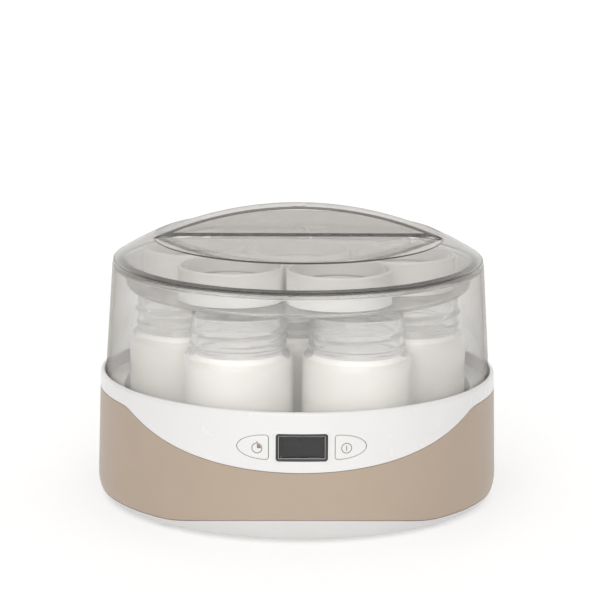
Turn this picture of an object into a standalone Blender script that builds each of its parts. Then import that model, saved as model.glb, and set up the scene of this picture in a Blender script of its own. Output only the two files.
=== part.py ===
"""A seven-jar yogurt maker: a heated base, a clear cover with a tray for the jar caps, and a domed lid.

Blender metres, +Z up. The origin is on the table, under the centre of the base; the controls face -Y.
Every size below is in millimetres and is turned into metres as each vertex is made.
"""

import math

import bmesh
import bpy
from mathutils import Vector

MM = 0.001
TURN = 2 * math.pi
GAP = 0.3

# Facets round each kind of turned piece.
BODY_FACETS = 40
JAR_FACETS = 16
SMALL_FACETS = 12

# Base, measured up from the table.
WALL_RADIUS = 125.0
RIM_RADIUS = 123.4
RIM_Z = 80.3
ROUND_TOP_Z = 15.0
ROUND_DEPTH = 6.0
FLOOR_Z = 2.0
FLOOR_THICK = 2.2
SPLIT_Z = 20.0
INNER_WALL_OUT = 122.1
INNER_WALL_IN = 119.9

# Trim band: its upper edge dips in a smile over the front, and its lower edge rises to a chin there.
BAND_INSIDE = 122.4
SIDE_TOP_Z = 70.0
SMILE_LOW_Z = 43.6
SMILE_SLOPE = 0.32
SMILE_CURVE = 0.0022
BAND_FOOT_Z = 7.0
CHIN_HIGH_Z = 15.1
CHIN_SLOPE = 0.296

# Heated well.
GROOVE_RADIUS = 120.95
GROOVE_Z = 72.0
WELL_RADIUS = 107.2
PLATE_RADIUS = 106.7
PLATE_LOW_Z = 45.5
PLATE_TOP_Z = 47.5
FLANGE_RADIUS = 100.0
FLANGE_LOW_Z = 43.0
WELL_WALL = 2.2

# Controls: one display between two half-oval buttons.
PANEL_Z = 59.1
DISPLAY_SIZE = (30.9, 16.7)
LCD_SIZE = (26.9, 13.1)
BUTTON_FLAT_X = 19.8
BUTTON_LENGTH = 18.5
BUTTON_HALF_HEIGHT = 7.25
BUTTON_DEPTH = 2.4
# The holes are cut from in front of the wall to inside it, and stay clear of the well's wall.
HOLE_FRONT_Y = -128.0
DISPLAY_HOLE_BACK_Y = -116.0
BUTTON_HOLE_BACK_Y = -111.0
SWITCH_X = 26.5
STEM_TIP_Y = -117.0
STEM_LENGTH = 2.8
BOARD_FRONT_Y = -112.1
BOARD_THICK = 1.6
BOARD_HALF_LENGTH = 30.1
BOARD_LOW_Z = 48.5
RAIL_WIDTH = 2.6

# Supply board, on four posts of the bottom cover.
SUPPLY_Y = 62.0
SUPPLY_HALF_SIZE = (30.0, 20.0)
SUPPLY_LOW_Z = 9.0
POST_SPREAD = (24.0, 14.0)
POST_RADIUS = 2.5

# Jars: one in the middle and six round it.
JAR_RADIUS = 33.7
JAR_PITCH = 71.8
JAR_START = math.radians(28.6)
JAR_FOOT_Z = PLATE_TOP_Z + GAP
JAR_HEIGHT = 80.0

# Clear cover with its cap tray.
SKIRT_FOOT_RADIUS = 120.6
SKIRT_FOOT_Z = GROOVE_Z + GAP
LEDGE_RADIUS = 115.8
LEDGE_Z = 148.4
TRAY_TOP_Z = 150.1
TRAY_FLOOR_Z = 134.6
CLEAR_WALL = 2.0

# Jar caps, stored on the tray, with a turning date ring in each.
CAP_RADIUS = 32.0
CAP_PITCH = 66.0
CAP_START = math.radians(20.6)
CAP_FOOT_Z = TRAY_FLOOR_Z + GAP
CAP_HEIGHT = 19.4
CAP_WELL_Z = 9.6
CAP_SKIN = 1.4
RING_OUT = 28.7
RING_IN = 21.7
TAB_HALF_WIDTH = 1.4
TAB_REACH = (23.4, 26.8)
TAB_HEIGHTS = (15.6, 17.4)

# Lid: a shallow dome with two finger recesses, which leave a hollow grip ridge between them.
LID_Z = LEDGE_Z + GAP
LID_RADIUS = 115.2
LID_HEIGHT = 35.0
LID_WALL = 2.2
DOME_RADIUS = 215.2
PLATEAU_HEIGHT = 15.2
RIDGE_HALF_TOP = 8.0
RIDGE_HALF_FOOT = 9.2

# Feet and screws.
FOOT_PLACE_RADIUS = 98.0
FOOT_RADIUS = 9.0
BOSS_PLACE_RADIUS = 113.4
BOSS_RADIUS = 4.0
SCREW_RADIUS = 1.5
SCREW_BORE = 1.8

# Cord inlet in the rear wall.
INLET_Z = 27.0
INLET_BORE = 3.4


def clear_scene():
    for old in list(bpy.data.objects):
        bpy.data.objects.remove(old)


def finish(name, colour, roughness, metallic=0.0, alpha=1.0):
    """A Principled material in one plain colour."""
    made = bpy.data.materials.new(name)
    made.use_nodes = True
    shader = made.node_tree.nodes["Principled BSDF"]
    shader.inputs["Base Color"].default_value = (*colour, 1.0)
    shader.inputs["Roughness"].default_value = roughness
    shader.inputs["Metallic"].default_value = metallic
    shader.inputs["Alpha"].default_value = alpha
    return made


def group(name, place=(0, 0, 0)):
    """An empty that carries the pieces of one body."""
    empty = bpy.data.objects.new(name, None)
    empty.location = Vector(place) * MM
    bpy.context.scene.collection.objects.link(empty)
    return empty


def attach(piece, parent):
    """Parents a piece and keeps it where it is."""
    bpy.context.view_layer.update()
    piece.parent = parent
    piece.matrix_parent_inverse = parent.matrix_world.inverted()
    return piece


def solid(name, shape, material):
    """Turns a bmesh into a named object with its faces pointing out."""
    bmesh.ops.recalc_face_normals(shape, faces=shape.faces)
    mesh = bpy.data.meshes.new(name)
    shape.to_mesh(mesh)
    shape.free()
    mesh.materials.append(material)
    mesh.shade_smooth()
    mesh.set_sharp_from_angle(angle=math.radians(35))
    piece = bpy.data.objects.new(name, mesh)
    bpy.context.scene.collection.objects.link(piece)
    return piece


def on_circle(radius, angle, height):
    """A point on a circle about the origin; angle 0 is the front, and it grows towards +X."""
    return Vector((radius * math.sin(angle), -radius * math.cos(angle), height))


def swept(name, section, facets, material):
    """A closed section carried round the Z axis. It may change with the angle, and radius 0 is a pole."""
    shape = bmesh.new()
    poles = {}
    columns = []
    for step in range(facets):
        angle = TURN * step / facets
        column = []
        for index, (radius, height) in enumerate(section(angle)):
            if radius > 0:
                column.append(shape.verts.new(on_circle(radius, angle, height) * MM))
                continue
            if index not in poles:
                poles[index] = shape.verts.new((0, 0, height * MM))
            column.append(poles[index])
        columns.append(column)
    for step in range(facets):
        here, there = columns[step], columns[(step + 1) % facets]
        for index in range(len(here)):
            after = (index + 1) % len(here)
            corners = dict.fromkeys([here[index], there[index], there[after], here[after]])
            if len(corners) > 2:
                shape.faces.new(list(corners))
    return solid(name, shape, material)


def turned(name, profile, facets, material, place=(0, 0, 0)):
    """A plain turned solid standing at a place."""
    piece = swept(name, lambda angle: profile, facets, material)
    piece.location = Vector(place) * MM
    return piece


def block(name, low, high, material, bevel=0.0):
    """A box between two corners, with its edges bevelled if asked."""
    low, high = Vector(low), Vector(high)
    shape = bmesh.new()
    bmesh.ops.create_cube(shape, size=1.0)
    bmesh.ops.scale(shape, vec=(high - low) * MM, verts=shape.verts)
    piece = solid(name, shape, material)
    piece.location = (low + high) / 2 * MM
    if bevel:
        edge = piece.modifiers.new("edge", "BEVEL")
        edge.width = bevel * MM
        edge.segments = 1
    return piece


def prism(name, outline, near_y, far_y, material):
    """An outline of (x, z) points, extruded along Y."""
    shape = bmesh.new()
    near = [shape.verts.new(Vector((x, near_y, z)) * MM) for x, z in outline]
    far = [shape.verts.new(Vector((x, far_y, z)) * MM) for x, z in outline]
    shape.faces.new(near)
    shape.faces.new(far)
    for index in range(len(outline)):
        after = (index + 1) % len(outline)
        shape.faces.new([near[index], near[after], far[after], far[index]])
    return solid(name, shape, material)


def tool(piece):
    """Marks a piece as a cutter or a helper, which isn't part of the object."""
    piece.hide_render = True
    piece.display_type = "WIRE"
    return piece


def combine(piece, other, operation):
    step = piece.modifiers.new(operation.lower(), "BOOLEAN")
    step.operation = operation
    step.object = tool(other)
    return piece


def rounded_rectangle(width, height, radius, centre_z):
    """A rectangle in X and Z with rounded corners."""
    corner_steps = 2
    points = []
    for quarter, (side_x, side_z) in enumerate(((1, 1), (-1, 1), (-1, -1), (1, -1))):
        for step in range(corner_steps + 1):
            turn = math.radians(90) * (quarter + step / corner_steps)
            x = side_x * (width / 2 - radius) + radius * math.cos(turn)
            z = side_z * (height / 2 - radius) + radius * math.sin(turn)
            points.append((x, centre_z + z))
    return points


def half_oval(side, grow):
    """A button's outline: flat towards the display, a half ellipse away from it. side is -1 or 1."""
    steps = 12
    points = []
    for step in range(steps + 1):
        turn = math.radians(180) * step / steps - math.radians(90)
        x = BUTTON_FLAT_X + (BUTTON_LENGTH + grow) * math.cos(turn)
        z = PANEL_Z + (BUTTON_HALF_HEIGHT + grow) * math.sin(turn)
        points.append((side * x, z))
    points.append((side * (BUTTON_FLAT_X - grow), PANEL_Z + BUTTON_HALF_HEIGHT + grow))
    points.append((side * (BUTTON_FLAT_X - grow), PANEL_Z - BUTTON_HALF_HEIGHT - grow))
    return points


def outer_radius(height):
    """The base's outer face: a slight taper upwards, and rounded under towards the floor."""
    if height >= ROUND_TOP_Z:
        share = (height - ROUND_TOP_Z) / (RIM_Z - ROUND_TOP_Z)
        return WALL_RADIUS + share * (RIM_RADIUS - WALL_RADIUS)
    drop = (ROUND_TOP_Z - height) / (ROUND_TOP_Z - FLOOR_Z)
    return WALL_RADIUS - ROUND_DEPTH * (1 - math.sqrt(max(0.0, 1 - drop * drop)))


def rows(low, high, steps):
    """Heights from low to high in even steps."""
    return [low + (high - low) * step / steps for step in range(steps + 1)]


def set_back(angle):
    """How far a point of the wall stands behind the foremost one."""
    return WALL_RADIUS * (1 - math.cos(angle))


def band_top(angle):
    back = set_back(angle)
    return min(SIDE_TOP_Z, SMILE_LOW_Z + SMILE_SLOPE * back + SMILE_CURVE * back * back)


def band_bottom(angle):
    return max(BAND_FOOT_Z, CHIN_HIGH_Z - CHIN_SLOPE * set_back(angle))


def round_places(count, radius, start=0.0):
    """Points evenly spaced on a circle, as (x, y)."""
    places = []
    for index in range(count):
        spot = on_circle(radius, start + TURN * index / count, 0)
        places.append((spot.x, spot.y))
    return places


def housing_section(angle):
    """The white housing: front panel skin, rim, cover groove, ledge and well wall."""
    skin_foot = band_top(angle) + GAP
    return [
        (outer_radius(skin_foot), skin_foot),
        (outer_radius(RIM_Z - 2.5), RIM_Z - 2.5),
        (RIM_RADIUS - 0.5, RIM_Z - 0.6),
        (RIM_RADIUS - 1.4, RIM_Z),
        (GROOVE_RADIUS + 0.35, RIM_Z),
        (GROOVE_RADIUS, RIM_Z - 0.5),
        (GROOVE_RADIUS, GROOVE_Z),
        (GROOVE_RADIUS - 3.5, GROOVE_Z),
        (WELL_RADIUS + 1.8, GROOVE_Z - 1.0),
        (WELL_RADIUS + 0.2, GROOVE_Z - 2.8),
        (WELL_RADIUS, PLATE_LOW_Z - GAP),
        (FLANGE_RADIUS, PLATE_LOW_Z - GAP),
        (FLANGE_RADIUS, FLANGE_LOW_Z),
        (WELL_RADIUS + WELL_WALL, FLANGE_LOW_Z),
        (WELL_RADIUS + WELL_WALL, GROOVE_Z - 4.6),
        (WELL_RADIUS + WELL_WALL + 1.2, GROOVE_Z - 3.2),
        (GROOVE_RADIUS - 2.9, GROOVE_Z - 2.2),
        (INNER_WALL_IN, GROOVE_Z - 3.0),
        (INNER_WALL_IN, SPLIT_Z),
        (INNER_WALL_OUT, SPLIT_Z),
        (INNER_WALL_OUT, skin_foot),
    ]


def screw_bosses(material):
    """Four towers that hang from the ledge and take the screws of the bottom cover."""
    profile = [
        (SCREW_BORE, FLOOR_Z + FLOOR_THICK + GAP),
        (BOSS_RADIUS, FLOOR_Z + FLOOR_THICK + GAP),
        (BOSS_RADIUS, GROOVE_Z - 2.0),
        (0, GROOVE_Z - 2.0),
        (0, SPLIT_Z),
        (SCREW_BORE, SPLIT_Z),
    ]
    for index, (x, y) in enumerate(round_places(4, BOSS_PLACE_RADIUS, math.radians(45))):
        yield turned(f"boss_{index}", profile, SMALL_FACETS, material, (x, y, 0))


def board_rails(material):
    """Two upright rails behind the front wall, which hold the control board's ends."""
    rail_in = BOARD_HALF_LENGTH + GAP
    for side in (-1, 1):
        edges = sorted((side * rail_in, side * (rail_in + RAIL_WIDTH)))
        yield block(
            f"rail_{side}",
            (edges[0], -118.0, BOARD_LOW_Z - 2.5),
            (edges[1], BOARD_FRONT_Y + 2.2, BOARD_LOW_Z + 4.0),
            material,
        )


def base_housing(white):
    piece = swept("base_housing", housing_section, BODY_FACETS, white)
    for addition in (*screw_bosses(white), *board_rails(white)):
        combine(piece, addition, "UNION")
    width, height = DISPLAY_SIZE
    display_hole = rounded_rectangle(width, height, 1.6, PANEL_Z)
    cutter = prism("display_hole", display_hole, HOLE_FRONT_Y, DISPLAY_HOLE_BACK_Y, white)
    combine(piece, cutter, "DIFFERENCE")
    for side in (-1, 1):
        cutter = prism(f"button_hole_{side}", half_oval(side, GAP), HOLE_FRONT_Y, BUTTON_HOLE_BACK_Y, white)
        combine(piece, cutter, "DIFFERENCE")
    return combine(piece, inlet_hole("housing_inlet_hole", 5.2, white), "DIFFERENCE")


def inlet_hole(name, radius, material):
    """A cylinder through the rear wall on the cord inlet's axis."""
    profile = [(0, -8), (radius, -8), (radius, 8), (0, 8)]
    hole = turned(name, profile, SMALL_FACETS, material, (0, INNER_WALL_OUT, INLET_Z))
    hole.rotation_euler.x = math.radians(90)
    return hole


def trim_band(taupe):
    """The coloured band, a curved sheet that wraps the white housing."""

    def section(angle):
        foot, top = band_bottom(angle), band_top(angle)
        bend = max(foot + GAP, ROUND_TOP_Z)
        return [
            *[(outer_radius(z), z) for z in rows(foot, bend, 3)],
            (outer_radius(top), top),
            (BAND_INSIDE, top),
            (BAND_INSIDE, foot),
        ]

    piece = swept("trim_band", section, BODY_FACETS, taupe)
    return combine(piece, inlet_hole("band_inlet_hole", 7.0, taupe), "DIFFERENCE")


def bottom_cover(white):
    """The white pan under the base. Its front edge rises flush with the band, as a chin."""
    inside_z = FLOOR_Z + FLOOR_THICK

    def section(angle):
        lip = band_bottom(angle) - GAP
        heights = [FLOOR_Z + share * (lip - FLOOR_Z) for share in (0.0, 0.05, 0.2, 0.45, 0.7, 1.0)]
        outside = [(outer_radius(z), z) for z in heights]
        return [
            (0, FLOOR_Z),
            *outside,
            (INNER_WALL_OUT, lip),
            (INNER_WALL_OUT, SPLIT_Z - GAP),
            (INNER_WALL_IN, SPLIT_Z - GAP),
            (INNER_WALL_IN, inside_z + 2.0),
            (INNER_WALL_IN - 2.0, inside_z),
            (0, inside_z),
        ]

    piece = swept("bottom_cover", section, BODY_FACETS, white)
    post_top = SUPPLY_LOW_Z - GAP
    post = [(0, inside_z - 1), (POST_RADIUS, inside_z - 1), (POST_RADIUS, post_top), (0, post_top)]
    for side_x in (-1, 1):
        for side_y in (-1, 1):
            corner = (side_x * POST_SPREAD[0], SUPPLY_Y + side_y * POST_SPREAD[1], 0)
            name = f"post_{side_x}_{side_y}"
            combine(piece, turned(name, post, SMALL_FACETS, white, corner), "UNION")
    holes = [(3.3, place) for place in round_places(4, FOOT_PLACE_RADIUS, math.radians(45))]
    holes += [(SCREW_BORE, place) for place in round_places(4, BOSS_PLACE_RADIUS, math.radians(45))]
    for index, (radius, (x, y)) in enumerate(holes):
        profile = [(0, 0), (radius, 0), (radius, 7.5), (0, 7.5)]
        combine(piece, turned(f"hole_{index}", profile, SMALL_FACETS, white, (x, y, 0)), "DIFFERENCE")
    return piece


def foot(name, place, rubber):
    """A soft foot, pressed through the floor by its barbed stem."""
    profile = [
        (0, 0),
        (FOOT_RADIUS - 1.0, 0),
        (FOOT_RADIUS, 0.7),
        (FOOT_RADIUS - 0.6, FLOOR_Z - GAP),
        (3.0, FLOOR_Z - GAP),
        (3.0, FLOOR_Z + FLOOR_THICK + 0.4),
        (2.4, 8.5),
        (0, 8.5),
    ]
    return turned(name, profile, SMALL_FACETS, rubber, (*place, 0))


def bottom_screw(name, place, steel):
    """A pan-head screw with a slot, driven up into a boss."""
    head_foot, head_top = 0.5, FLOOR_Z - GAP
    profile = [
        (0, head_foot),
        (2.4, head_foot),
        (3.1, head_foot + 0.5),
        (3.1, head_top),
        (SCREW_RADIUS, head_top),
        (SCREW_RADIUS, 15.0),
        (0, 17.0),
    ]
    piece = turned(name, profile, SMALL_FACETS, steel, (*place, 0))
    x, y = place
    slot = block(f"slot_{name}", (x - 4, y - 0.4, 0), (x + 4, y + 0.4, head_foot + 0.6), steel)
    return combine(piece, slot, "DIFFERENCE")


def heating_plate(aluminium):
    """The well's floor: a metal disc that the jars stand on."""
    profile = [
        (0, PLATE_LOW_Z),
        (PLATE_RADIUS, PLATE_LOW_Z),
        (PLATE_RADIUS, PLATE_TOP_Z),
        (0, PLATE_TOP_Z),
    ]
    return turned("heating_plate", profile, BODY_FACETS, aluminium)


def heating_element(steel):
    """A round sheathed heater under the plate. Its two ends turn down to the terminals."""
    bend_radius, tube_radius, open_half = 66.0, 3.0, math.radians(14)
    top = PLATE_LOW_Z - GAP - tube_radius
    steps = 26
    start, stop = math.pi + open_half, 3 * math.pi - open_half
    route = []
    for step in range(steps + 1):
        angle = start + (stop - start) * step / steps
        route.append(on_circle(bend_radius, angle, top))
    for end, edge in ((0, -1), (-1, 1)):
        tip = route[end]
        along = on_circle(bend_radius, (start, stop)[end] + edge * math.radians(4), top) - tip
        tails = [tip + along * 0.8 - Vector((0, 0, 2.2)), tip + along - Vector((0, 0, 14.0))]
        route = (tails[::-1] + route) if end == 0 else (route + tails)
    curve = bpy.data.curves.new("heating_element", "CURVE")
    curve.dimensions = "3D"
    curve.bevel_depth = tube_radius * MM
    curve.bevel_resolution = 1
    curve.use_fill_caps = True
    line = curve.splines.new("POLY")
    line.points.add(len(route) - 1)
    for point, spot in zip(line.points, route):
        point.co = (*(spot * MM), 1.0)
    curve.materials.append(steel)
    piece = bpy.data.objects.new("heating_element", curve)
    bpy.context.scene.collection.objects.link(piece)
    return piece


def plate_sensors(steel, white):
    """The thermal fuse and the temperature sensor, clipped up against the plate."""
    touch = PLATE_LOW_Z - GAP
    fuse = block("thermal_fuse", (-38, -7, touch - 7), (-24, 1, touch), steel, 1.2)
    profile = [
        (0, touch - 8),
        (3.0, touch - 8),
        (3.0, touch - 4),
        (7.0, touch - 4),
        (7.0, touch),
        (0, touch),
    ]
    sensor = turned("temperature_sensor", profile, SMALL_FACETS, white, (0, 0, 0))
    return [fuse, sensor]


def display_parts(finishes):
    """Window frame, window, LCD and its holder, stacked behind the display opening."""
    width, height = DISPLAY_SIZE
    lcd_width, lcd_height = LCD_SIZE
    outline = rounded_rectangle(width - 2 * GAP, height - 2 * GAP, 1.4, PANEL_Z)
    frame = prism("display_frame", outline, -122.7, -119.4, finishes["frame"])
    window_hole = rounded_rectangle(lcd_width, lcd_height, 0.8, PANEL_Z)
    combine(frame, prism("window_hole", window_hole, -126, -117, finishes["frame"]), "DIFFERENCE")
    pane = rounded_rectangle(lcd_width - 2 * GAP, lcd_height - 2 * GAP, 0.6, PANEL_Z)
    window = prism("display_window", pane, -121.6, -120.5, finishes["clear"])
    half_w, half_h = width / 2 - 0.6, height / 2 - 0.6
    low, high = PANEL_Z - half_h, PANEL_Z + half_h
    lcd = block("lcd_module", (-half_w, -119.1, low), (half_w, -116.3, high), finishes["lcd"], 0.5)
    holder = block(
        "lcd_holder",
        (-half_w, -116.0, low),
        (half_w, BOARD_FRONT_Y - GAP, high),
        finishes["white"],
        0.6,
    )
    return [frame, window, lcd, holder]


def button(name, side, white):
    """A half-oval key cut from the same curved skin as the wall, with a stem that works its switch."""
    skin_in = outer_radius(PANEL_Z) - BUTTON_DEPTH

    def skin_section(angle):
        low, high = PANEL_Z - 12, PANEL_Z + 12
        return [
            (outer_radius(low), low),
            (outer_radius(high), high),
            (skin_in, high),
            (skin_in, low),
        ]

    piece = prism(name, half_oval(side, 0), -128, -100, white)
    combine(piece, swept(f"skin_{name}", skin_section, BODY_FACETS, white), "INTERSECT")
    stem = [(0, -STEM_LENGTH), (2.4, -STEM_LENGTH), (2.4, 0), (0, 0)]
    place = (side * SWITCH_X, STEM_TIP_Y, PANEL_Z)
    post = turned(f"stem_{name}", stem, SMALL_FACETS, white, place)
    post.rotation_euler.x = math.radians(-90)
    return combine(piece, post, "UNION")


def tact_switch(name, side, dark):
    """A square push switch on the control board, behind a button."""
    x = side * SWITCH_X
    body = block(
        name, (x - 3, BOARD_FRONT_Y - 2.5, PANEL_Z - 3), (x + 3, BOARD_FRONT_Y - GAP, PANEL_Z + 3), dark
    )
    plunger_profile = [(0, -0.8), (1.6, -0.8), (1.6, 1.0), (0, 1.0)]
    place = (x, BOARD_FRONT_Y - 2.5, PANEL_Z)
    plunger = turned(f"plunger_{name}", plunger_profile, SMALL_FACETS, dark, place)
    plunger.rotation_euler.x = math.radians(90)
    return combine(body, plunger, "UNION")


def boards(finishes):
    """The control board behind the panel, and the supply board on the floor with its parts."""
    control = block(
        "control_board",
        (-BOARD_HALF_LENGTH, BOARD_FRONT_Y, BOARD_LOW_Z),
        (BOARD_HALF_LENGTH, BOARD_FRONT_Y + BOARD_THICK, BOARD_LOW_Z + 17.5),
        finishes["board"],
    )
    half_x, half_y = SUPPLY_HALF_SIZE
    supply_top = SUPPLY_LOW_Z + BOARD_THICK
    supply = block(
        "supply_board",
        (-half_x, SUPPLY_Y - half_y, SUPPLY_LOW_Z),
        (half_x, SUPPLY_Y + half_y, supply_top),
        finishes["board"],
    )
    seat = supply_top + GAP
    transformer = block(
        "transformer",
        (-22, SUPPLY_Y - 11, seat),
        (0, SUPPLY_Y + 11, seat + 14.1),
        finishes["dark"],
        1.5,
    )
    can = [(0, 0), (5.5, 0), (6.0, 0.6), (6.0, 13.4), (5.5, 14.0), (0, 14.0)]
    capacitor = turned("capacitor", can, SMALL_FACETS, finishes["dark"], (14, SUPPLY_Y, seat))
    return [control, supply, transformer, capacitor]


def cord_inlet(rubber):
    """A flush rubber bushing in the rear wall, with a flange on each side of it."""
    flange_out, flange_in, neck = 6.6, 6.4, 4.7
    profile = [
        (INLET_BORE, -5.0),
        (flange_in, -5.0),
        (flange_in, -3.1),
        (neck, -3.1),
        (neck, 0.4),
        (flange_out, 0.4),
        (flange_out, 2.0),
        (INLET_BORE, 2.0),
    ]
    bushing = turned("cord_inlet", profile, SMALL_FACETS, rubber, (0, INNER_WALL_OUT, INLET_Z))
    bushing.rotation_euler.x = math.radians(-90)
    return bushing


def jar(name, place, glass):
    """A glass jar with a bead and a screw neck."""
    profile = [
        (0, 0),
        (31.0, 0),
        (JAR_RADIUS, 3.5),
        (JAR_RADIUS, 50.0),
        (32.4, 54.6),
        (28.4, 58.2),
        (28.2, 61.0),
        (30.2, 63.5),
        (28.4, 66.0),
        (28.4, JAR_HEIGHT - 0.8),
        (27.3, JAR_HEIGHT),
        (26.2, JAR_HEIGHT - 0.8),
        (26.0, 58.0),
        (30.8, 51.5),
        (31.0, 5.2),
        (0, 3.2),
    ]
    return turned(name, profile, JAR_FACETS, glass, (*place, JAR_FOOT_Z))


def yogurt(name, place, cream):
    """The set yogurt that fills a jar to its shoulder."""
    profile = [(0, 3.6), (30.5, 5.6), (30.4, 51.2), (27.6, 55.0), (0, 55.0)]
    return turned(name, profile, JAR_FACETS, cream, (*place, JAR_FOOT_Z))


def cap(name, place, white):
    """A screw cap with a sunken top: a funnel for the date ring round a raised disc."""
    profile = [
        (CAP_RADIUS - 0.2, 0),
        (CAP_RADIUS, 1.0),
        (CAP_RADIUS, CAP_HEIGHT - 1.2),
        (CAP_RADIUS - 0.9, CAP_HEIGHT),
        (30.2, CAP_HEIGHT),
        (29.6, CAP_HEIGHT - 2.2),
        (23.0, CAP_WELL_Z + 0.7),
        (22.2, CAP_WELL_Z),
        (17.2, CAP_WELL_Z),
        (16.6, CAP_WELL_Z + 1.6),
        (0, CAP_WELL_Z + 1.6),
        (0, CAP_WELL_Z - CAP_SKIN),
        (22.8, CAP_WELL_Z - CAP_SKIN),
        (30.7, CAP_HEIGHT - 3.2),
        (30.7, 0),
    ]
    return turned(name, profile, JAR_FACETS, white, (*place, CAP_FOOT_Z))


def date_ring(name, place, white):
    """A loose funnel-shaped ring that turns in its cap. A tab on its slope shows which way it is turned."""
    foot, top = CAP_WELL_Z + 1.6, CAP_HEIGHT - 0.9
    profile = [
        (RING_OUT, top - 1.0),
        (RING_OUT, top),
        (RING_OUT - 1.1, top),
        (RING_IN, foot + 0.8),
        (RING_IN, foot),
        (RING_IN + 1.2, foot),
    ]
    ring = turned(name, profile, JAR_FACETS, white, (*place, CAP_FOOT_Z))
    x, y = place
    low = (x - TAB_HALF_WIDTH, y - TAB_REACH[1], CAP_FOOT_Z + TAB_HEIGHTS[0])
    high = (x + TAB_HALF_WIDTH, y - TAB_REACH[0], CAP_FOOT_Z + TAB_HEIGHTS[1])
    return combine(ring, block(f"tab_{name}", low, high, white), "UNION")


def clear_cover(clear):
    """One clear moulding: outer skirt, ledge for the lid, raised ring and cap tray."""
    skirt_in = SKIRT_FOOT_RADIUS - CLEAR_WALL
    tray_low = TRAY_FLOOR_Z - CLEAR_WALL
    profile = [
        (SKIRT_FOOT_RADIUS, SKIRT_FOOT_Z),
        (LEDGE_RADIUS + 0.2, LEDGE_Z - 3.4),
        (LEDGE_RADIUS - 0.1, LEDGE_Z - 1.2),
        (LEDGE_RADIUS - 0.9, LEDGE_Z),
        (111.5, LEDGE_Z),
        (110.9, TRAY_TOP_Z - 0.4),
        (110.3, TRAY_TOP_Z),
        (108.3, TRAY_TOP_Z),
        (107.8, TRAY_TOP_Z - 0.5),
        (106.2, 138.0),
        (105.3, 135.6),
        (103.0, TRAY_FLOOR_Z),
        (0, TRAY_FLOOR_Z),
        (0, tray_low),
        (103.6, tray_low),
        (106.6, 133.8),
        (108.1, 137.0),
        (109.4, 145.4),
        (110.6, 146.3),
        (113.0, 146.3),
        (113.8, 144.6),
        (skirt_in, SKIRT_FOOT_Z),
    ]
    return turned("clear_cover", profile, BODY_FACETS, clear)


def dome_profile(radius, edge, edge_foot, rows):
    """Half section of a shallow dome about the lid's sphere, from its edge up to the pole."""
    centre_z = LID_Z + LID_HEIGHT - DOME_RADIUS
    profile = [(0, edge_foot), (edge, edge_foot)]
    for row in range(rows + 1):
        at = (edge - 0.2) * (1 - row / rows)
        profile.append((at, centre_z + math.sqrt(radius * radius - at * at)))
    return profile


def recess_tool(name, side, inset, material):
    """A wedge that cuts one finger recess. inset grows it inwards by the wall's thickness."""
    floor = LID_Z + PLATEAU_HEIGHT - inset
    reach = 130.0
    top = LID_Z + LID_HEIGHT + 20
    lean = (RIDGE_HALF_FOOT - RIDGE_HALF_TOP) / (LID_HEIGHT - PLATEAU_HEIGHT)
    top_y = RIDGE_HALF_FOOT - inset - lean * (top - floor)
    corners = [(RIDGE_HALF_FOOT - inset, floor), (reach, floor), (reach, top), (top_y, top)]
    shape = bmesh.new()
    ends = []
    for x in (-reach, reach):
        ends.append([shape.verts.new(Vector((x, side * y, z)) * MM) for y, z in corners])
    shape.faces.new(ends[0])
    shape.faces.new(ends[1])
    for index in range(len(corners)):
        after = (index + 1) % len(corners)
        shape.faces.new([ends[0][index], ends[0][after], ends[1][after], ends[1][index]])
    return solid(name, shape, material)


def lid(clear):
    rows, facets = 7, 40
    outside = dome_profile(DOME_RADIUS, LID_RADIUS, LID_Z, rows)
    piece = turned("lid", outside, facets, clear)
    inside = dome_profile(DOME_RADIUS - LID_WALL, LID_RADIUS - LID_WALL, LID_Z - 2, rows)
    hollow = turned("lid_hollow", inside, facets, clear)
    for side in (-1, 1):
        combine(piece, recess_tool(f"recess_{side}", side, 0.0, clear), "DIFFERENCE")
        combine(hollow, recess_tool(f"recess_inner_{side}", side, LID_WALL, clear), "DIFFERENCE")
    return combine(piece, hollow, "DIFFERENCE")


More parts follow.
